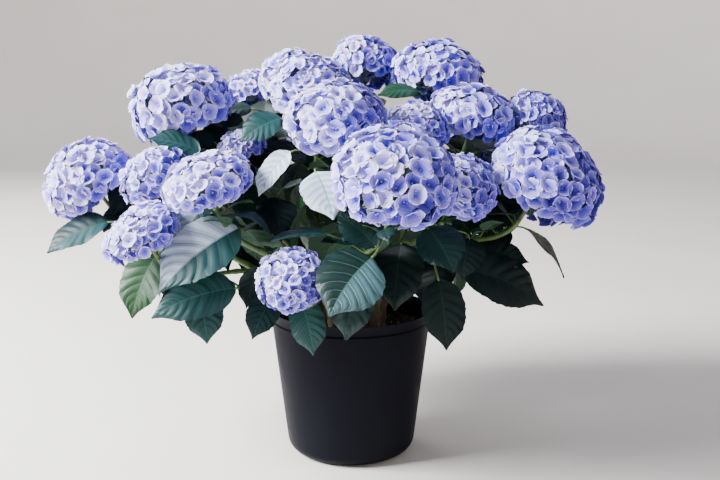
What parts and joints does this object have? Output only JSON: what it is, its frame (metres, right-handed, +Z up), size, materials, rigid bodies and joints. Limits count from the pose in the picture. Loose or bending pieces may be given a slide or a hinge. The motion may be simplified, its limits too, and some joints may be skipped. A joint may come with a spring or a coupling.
{
  "type": "potted hydrangea",
  "caption": "Bushy flowering shrub in a tapered round nursery pot, with domed heads of broad-petalled florets over drooping, broad oval leaves.",
  "frame": {"origin": "centre of the pot's flat underside", "axes": "+Z up, -Y towards the front of the plant, +X to the viewer's right"},
  "size_m": [0.8376, 0.6987, 0.6385],
  "materials": {
    "pot": "satin",
    "soil": "matte",
    "bark": "matte",
    "leaf": "satin",
    "petal": "satin"
  },
  "bodies": {
    "root": {"pot": "pot", "soil": "soil", "cane_back": "bark", "cane_back_left": "bark", "cane_back_right": "bark", "cane_front": "bark", "cane_front_left": "bark", "cane_front_right": "bark", "cane_left": "bark", "cane_left_front": "bark", "cane_middle": "bark", "cane_rear_left": "bark", "cane_right": "bark", "foliage_back": "leaf", "foliage_back_left": "leaf", "foliage_back_right": "leaf", "foliage_front": "leaf", "foliage_front_left": "leaf", "foliage_front_right": "leaf", "foliage_left": "leaf", "foliage_left_front": "leaf", "foliage_middle": "leaf", "foliage_rear_left": "leaf", "foliage_right": "leaf", "bloom_back_left_small": "petal", "bloom_back_left_top": "petal", "bloom_back_right": "petal", "bloom_back_right_top": "petal", "bloom_back_top": "petal", "bloom_front_centre": "petal", "bloom_front_left": "petal", "bloom_front_low": "petal", "bloom_front_right": "petal", "bloom_inner_left": "petal", "bloom_left": "petal", "bloom_left_low": "petal", "bloom_left_mid": "petal", "bloom_left_upper": "petal", "bloom_mid_right": "petal", "bloom_rear_left": "petal", "bloom_rear_low": "petal", "bloom_rear_mid_left": "petal", "bloom_rear_mid_right": "petal", "bloom_rear_right": "petal", "bloom_rear_right_low": "petal", "bloom_rear_side_left": "petal", "bloom_right": "petal", "bloom_right_upper": "petal", "bloom_top_left": "petal", "bloom_upper_centre": "petal"}
  },
  "joints": []
}
